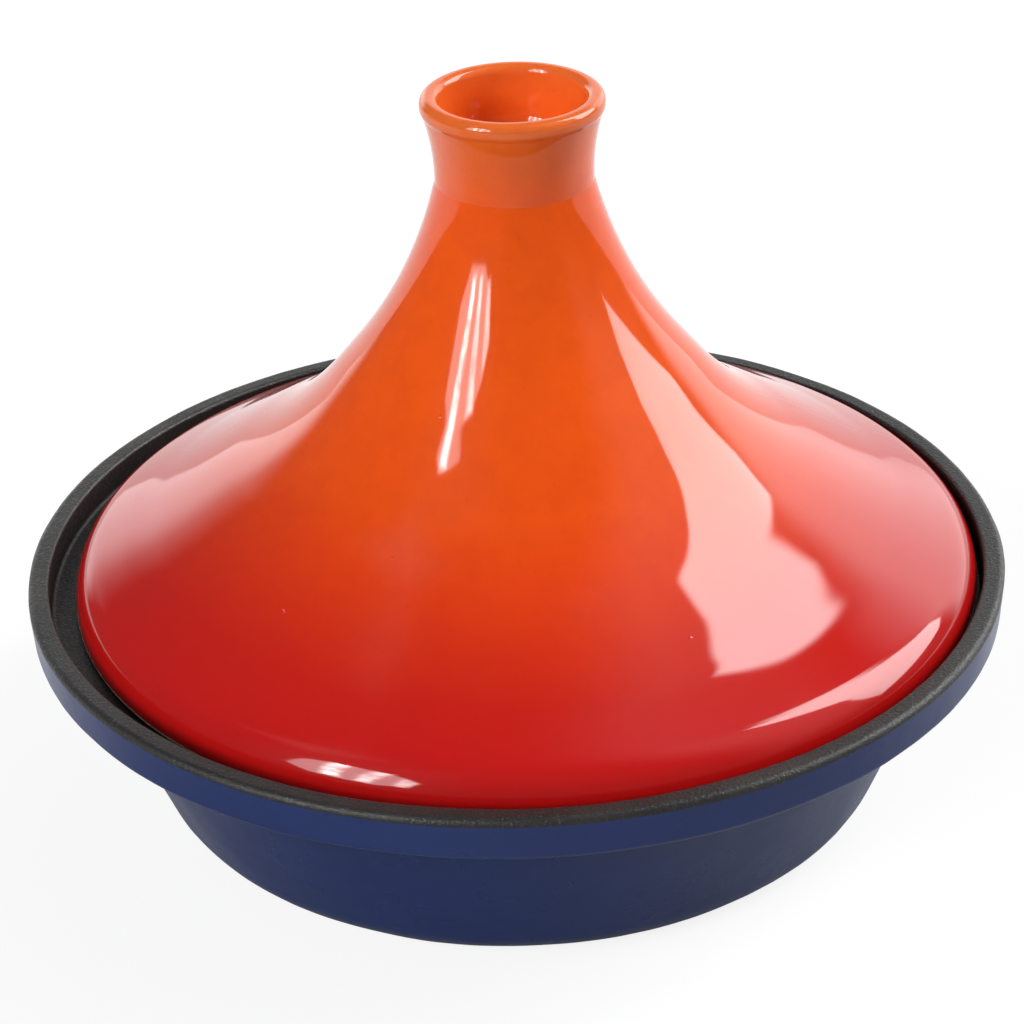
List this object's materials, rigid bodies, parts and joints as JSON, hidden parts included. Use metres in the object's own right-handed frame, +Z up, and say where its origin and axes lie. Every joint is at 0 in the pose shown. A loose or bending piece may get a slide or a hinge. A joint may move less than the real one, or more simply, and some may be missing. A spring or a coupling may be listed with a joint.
{
  "type": "tagine pot",
  "caption": "Round low cast-iron dish with a stepped rim, and a lift-off conical stoneware lid with a flared, closed cup at its top.",
  "frame": {"origin": "on the table, under the middle of the dish", "axes": "+Z up along the dish's axis; the dish and the lid are round, so X and Y are free; the lid lies about 3 mm off centre towards +X"},
  "size_m": [0.3, 0.3, 0.2225],
  "materials": {
    "bare_iron": "bare ground cast iron on the foot ring",
    "black_enamel": "matt, grainy black enamel",
    "blue_enamel": "satin dark blue enamel over a slightly grainy casting",
    "stoneware": "unglazed buff stoneware on the lid's foot",
    "orange_glaze": "glossy orange glaze",
    "red_glaze": "glossy red glaze that fades into the orange above it",
    "cream_glaze": "glossy cream glaze inside the lid"
  },
  "bodies": {
    "dish": {"dish_casting": "bare_iron", "dish_black_enamel": "black_enamel", "dish_blue_enamel": "blue_enamel", "underside_enamel": "blue_enamel"},
    "lid": {"lid_cone": "stoneware", "steam_cup": "stoneware", "cone_glaze": "orange_glaze", "skirt_glaze": "red_glaze", "cup_glaze": "orange_glaze", "inner_glaze": "cream_glaze"}
  },
  "joints": [
    {"name": "lid_lift", "type": "slide", "parent": "dish", "child": "lid", "axis": [0, 0, 1], "range_m": [0, 0.2]}
  ]
}
